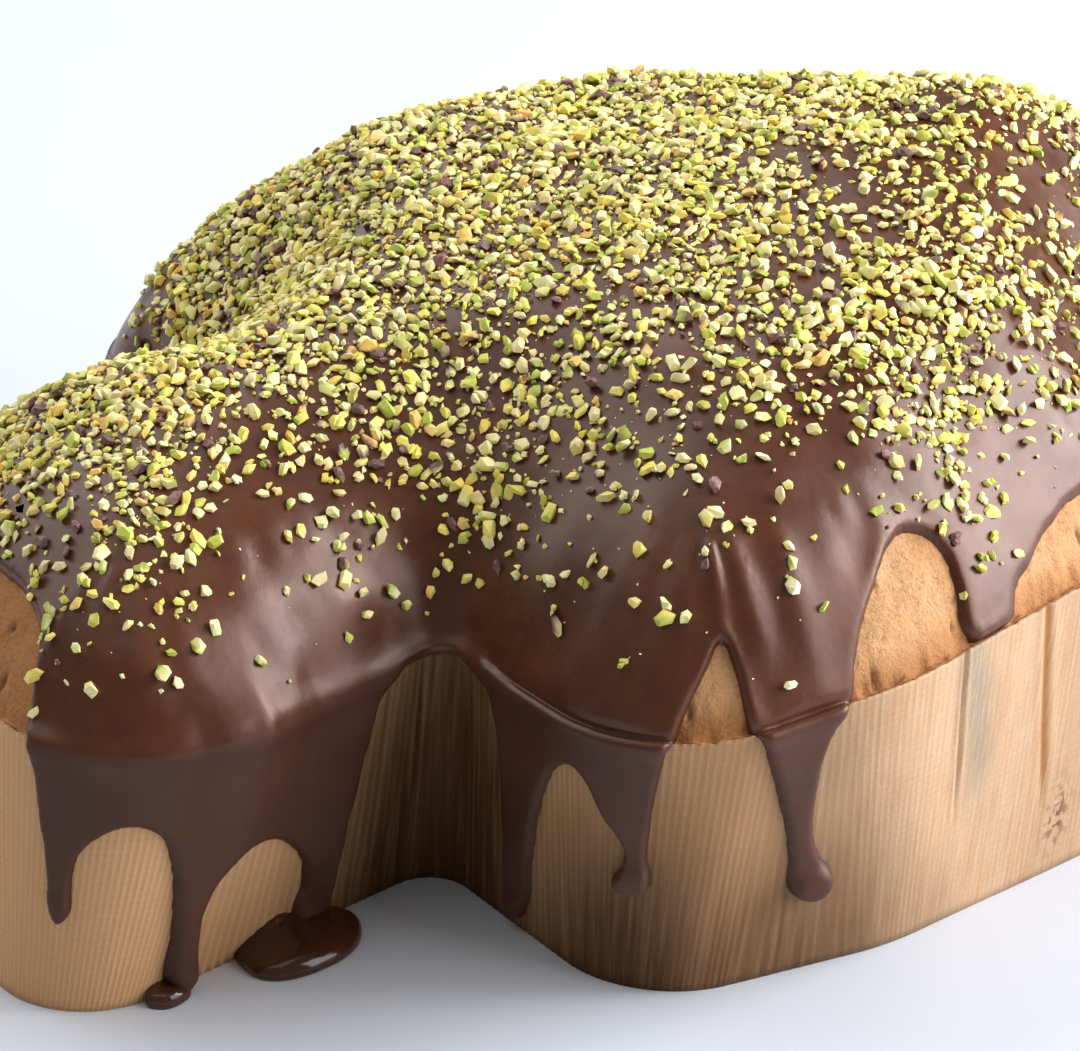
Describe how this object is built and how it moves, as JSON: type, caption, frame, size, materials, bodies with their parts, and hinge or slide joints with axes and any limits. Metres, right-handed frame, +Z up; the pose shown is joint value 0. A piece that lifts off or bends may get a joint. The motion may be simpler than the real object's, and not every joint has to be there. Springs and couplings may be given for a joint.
{
  "type": "colomba easter bread",
  "caption": "Dove-shaped sweet bread in a corrugated paper case, under dark chocolate that drips down the case, with chopped pistachio on top.",
  "frame": {"origin": "centre of the bounding box, on the table under the paper case", "axes": "+X from the tail to the head of the dove, +Y to the far wing, +Z up"},
  "size_m": [0.3126, 0.2355, 0.1248],
  "materials": {
    "kraft_paper": "matt corrugated paper",
    "bread_crust": "matt baked crust",
    "dark_chocolate": "soft gloss set chocolate"
  },
  "bodies": {
    "root": {"paper_case": "kraft_paper", "bread": "bread_crust", "chocolate_glaze": "dark_chocolate", "chocolate_pool": "dark_chocolate", "chocolate_foot": "dark_chocolate"}
  },
  "joints": []
}
